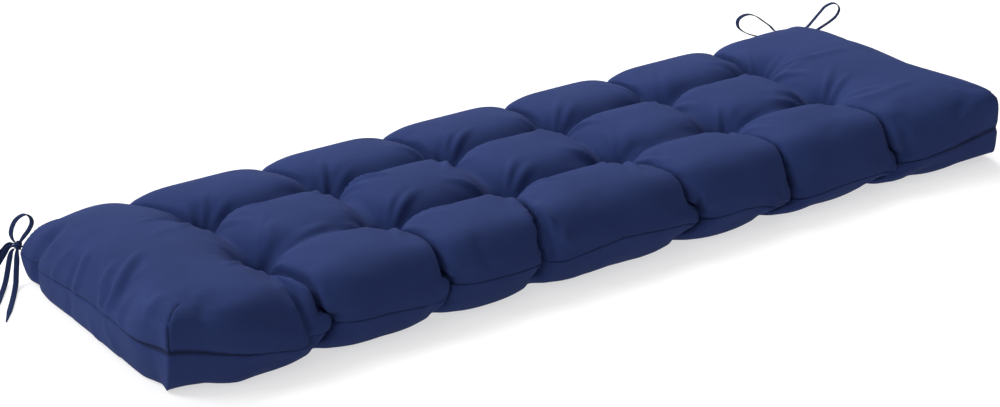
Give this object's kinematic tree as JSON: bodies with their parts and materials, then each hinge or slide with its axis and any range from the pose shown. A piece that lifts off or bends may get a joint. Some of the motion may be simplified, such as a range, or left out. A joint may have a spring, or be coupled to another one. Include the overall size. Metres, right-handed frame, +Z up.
{
  "type": "bench cushion",
  "caption": "Long tufted bench cushion in plain navy cloth, a filled pad drawn in by rows of tacks, with a tied fabric bow at each back corner.",
  "frame": {"origin": "centre of the cushion's plan, on the surface it rests on; the ties are left out of this centring", "axes": "+X along the cushion's length, +Y from the front long side to the back long side with the ties, +Z up through its thickness"},
  "size_m": [1.4276, 0.4955, 0.1074],
  "materials": {
    "cushion_fabric": "matte plain-woven cloth",
    "tie_fabric": "matte folded cloth strip"
  },
  "bodies": {
    "root": {"cushion": "cushion_fabric", "tie_left_knot": "tie_fabric", "tie_left_loop_up": "tie_fabric", "tie_left_loop_out": "tie_fabric", "tie_left_end_front": "tie_fabric", "tie_left_end_outer": "tie_fabric", "tie_right_knot": "tie_fabric", "tie_right_loop_in": "tie_fabric", "tie_right_loop_out": "tie_fabric", "tie_right_end_inner": "tie_fabric", "tie_right_end_outer": "tie_fabric"}
  },
  "joints": []
}
